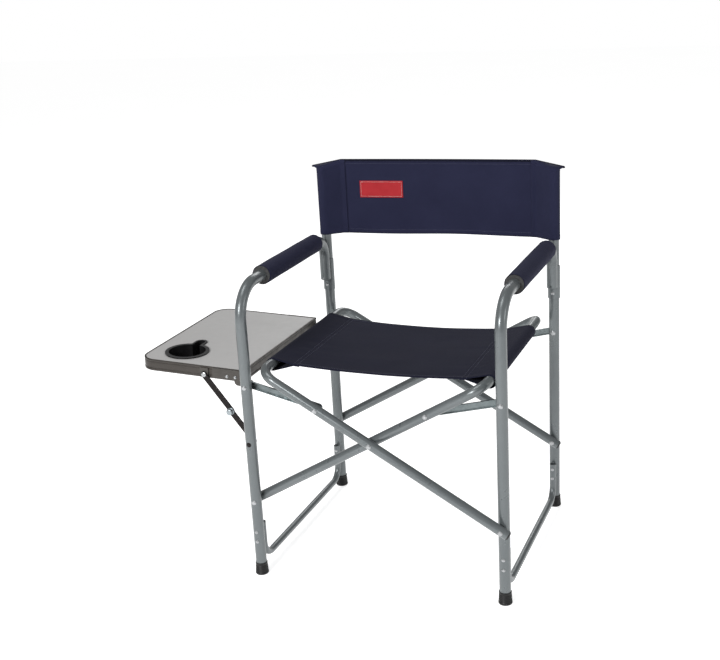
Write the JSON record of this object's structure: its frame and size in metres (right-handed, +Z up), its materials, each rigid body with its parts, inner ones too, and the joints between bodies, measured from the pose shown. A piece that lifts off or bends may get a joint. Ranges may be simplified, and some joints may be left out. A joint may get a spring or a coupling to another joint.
{
  "type": "folding director chair",
  "caption": "Folding director chair with crossed tube frames, fabric seat and back, padded arms and a drop-leaf side table with a cup holder.",
  "frame": {"origin": "on the floor, under the middle of the whole open chair", "axes": "+Y towards the back of the chair, +Z up, the side table on the -X side"},
  "size_m": [0.7688, 0.4843, 0.764],
  "materials": {
    "frame_tube": "semi-gloss silver-grey powder coat",
    "black_plastic": "fine moulded grain",
    "zinc": "bright zinc plate",
    "rivet_steel": "plated, slightly dulled",
    "navy_fabric": "plain woven polyester, dull",
    "foam": "closed-cell foam, matt",
    "board": "light grey laminate, satin",
    "trim_aluminium": "brushed, warm grey",
    "black_steel": "black zinc, semi-gloss"
  },
  "bodies": {
    "left_side_frame": {"left_arm_and_front_leg": "frame_tube", "left_back_upright": "frame_tube", "left_upright_plug": "black_plastic", "left_stretcher": "frame_tube", "left_front_foot": "black_plastic", "left_rear_foot": "black_plastic", "left_frame_rivets": "rivet_steel", "left_pivot_rivets": "rivet_steel", "left_arm_foam": "foam", "left_arm_cover": "navy_fabric", "left_back_sleeve": "navy_fabric", "brace_foot_pin": "black_steel"},
    "right_rail_frame": {"right_rail_cross_frame": "frame_tube", "right_rail_cross_frame_plugs": "black_plastic", "right_rail_cross_frame_rivets": "rivet_steel", "right_seat_sleeve": "navy_fabric"},
    "left_rail_frame": {"left_rail_cross_frame": "frame_tube", "left_rail_cross_frame_plugs": "black_plastic", "left_rail_cross_frame_rivets": "rivet_steel", "left_seat_sleeve": "navy_fabric"},
    "right_side_frame": {"right_arm_and_front_leg": "frame_tube", "right_back_upright": "frame_tube", "right_upright_plug": "black_plastic", "right_stretcher": "frame_tube", "right_front_foot": "black_plastic", "right_rear_foot": "black_plastic", "right_frame_rivets": "rivet_steel", "right_pivot_rivets": "rivet_steel", "right_arm_foam": "foam", "right_arm_cover": "navy_fabric", "right_back_sleeve": "navy_fabric"},
    "left_links": {"left_front_link": "zinc", "left_rear_link": "zinc", "left_link_end_rivets": "rivet_steel"},
    "right_links": {"right_front_link": "zinc", "right_rear_link": "zinc", "right_link_end_rivets": "rivet_steel"},
    "seat_left_half": {"left_seat_panel": "navy_fabric"},
    "seat_right_half": {"right_seat_panel": "navy_fabric"},
    "back_left_half": {"left_back_panel": "navy_fabric"},
    "back_right_half": {"right_back_panel": "navy_fabric"},
    "side_table": {"table_board": "board", "table_edge_trim": "trim_aluminium", "cup_holder": "black_plastic", "table_front_hinge_plate": "trim_aluminium", "table_rear_hinge_plate": "trim_aluminium", "table_brace_bracket": "zinc", "table_rivets": "rivet_steel"},
    "upper_brace": {"brace_upper_bar": "black_steel"},
    "lower_brace": {"brace_lower_bar": "black_steel", "brace_knee_nut": "zinc"}
  },
  "joints": [
    {"name": "fold", "type": "hinge", "parent": "left_side_frame", "child": "right_rail_frame", "pos_m": [-0.13511, -0.21627, 0.16], "axis": [0, -1, 0], "range_deg": [0, 34], "deforming": ["left_arm_foam", "left_arm_cover", "right_arm_foam", "right_arm_cover", "left_seat_panel", "right_seat_panel", "left_back_panel", "right_back_panel"]},
    {"name": "crossing", "type": "hinge", "parent": "right_rail_frame", "child": "left_rail_frame", "pos_m": [0.11489, -0.21627, 0.3055], "axis": [0, -1, 0], "range_deg": [-68.1, 0.1]},
    {"name": "right_leg_pivot", "type": "hinge", "parent": "left_rail_frame", "child": "right_side_frame", "pos_m": [0.36489, -0.21627, 0.16], "axis": [0, -1, 0], "range_deg": [-0.1, 34.1]},
    {"name": "left_link_pivot", "type": "hinge", "parent": "left_side_frame", "child": "left_links", "pos_m": [-0.13511, -0.21627, 0.402], "axis": [0, -1, 0], "range_deg": [-0.1, 74.34]},
    {"name": "right_link_pivot", "type": "hinge", "parent": "right_side_frame", "child": "right_links", "pos_m": [0.36489, -0.21627, 0.402], "axis": [0, -1, 0], "range_deg": [-74.34, 0.1]},
    {"name": "seat_left_rail", "type": "hinge", "parent": "left_rail_frame", "child": "seat_left_half", "pos_m": [-0.10351, -0.21627, 0.43262], "axis": [0, -1, 0], "range_deg": [-25.97, 0.1]},
    {"name": "seat_crease", "type": "hinge", "parent": "seat_left_half", "child": "seat_right_half", "pos_m": [0.11489, -0.21627, 0.43301], "axis": [0, -1, 0], "range_deg": [-0.1, 119.84]},
    {"name": "back_left_post", "type": "hinge", "parent": "left_side_frame", "child": "back_left_half", "pos_m": [-0.13511, 0.20523, 0.603], "axis": [0, 0, 1], "range_deg": [-0.1, 59.37]},
    {"name": "back_crease", "type": "hinge", "parent": "back_left_half", "child": "back_right_half", "pos_m": [0.11437, 0.22802, 0.603], "axis": [0, 0, 1], "range_deg": [-113.91, 0.1]},
    {"name": "table_fold", "type": "hinge", "parent": "left_side_frame", "child": "side_table", "pos_m": [-0.13511, -0.21627, 0.402], "axis": [0, -1, 0], "range_deg": [0, 90]},
    {"name": "brace_top_pivot", "type": "hinge", "parent": "side_table", "child": "upper_brace", "pos_m": [-0.23473, -0.21627, 0.41318], "axis": [0, -1, 0], "range_deg": [-132.41, 0.1]},
    {"name": "brace_foot_pivot", "type": "hinge", "parent": "left_side_frame", "child": "lower_brace", "pos_m": [-0.13511, -0.21627, 0.284], "axis": [0, -1, 0], "range_deg": [-0.1, 127.88]}
  ],
  "couplings": [
    {"joint": "crossing", "follows": "fold", "ratio": -2},
    {"joint": "right_leg_pivot", "follows": "fold", "ratio": 1},
    {"joint": "left_link_pivot", "follows": "fold", "ratio": 2.1834},
    {"joint": "right_link_pivot", "follows": "fold", "ratio": -2.1834},
    {"joint": "seat_left_rail", "follows": "fold", "ratio": -0.76082},
    {"joint": "seat_crease", "follows": "fold", "ratio": 3.5216},
    {"joint": "back_left_post", "follows": "fold", "ratio": 1.7431},
    {"joint": "back_crease", "follows": "fold", "ratio": -3.3472},
    {"joint": "brace_top_pivot", "follows": "table_fold", "ratio": -1.4701},
    {"joint": "brace_foot_pivot", "follows": "table_fold", "ratio": 1.4198}
  ]
}
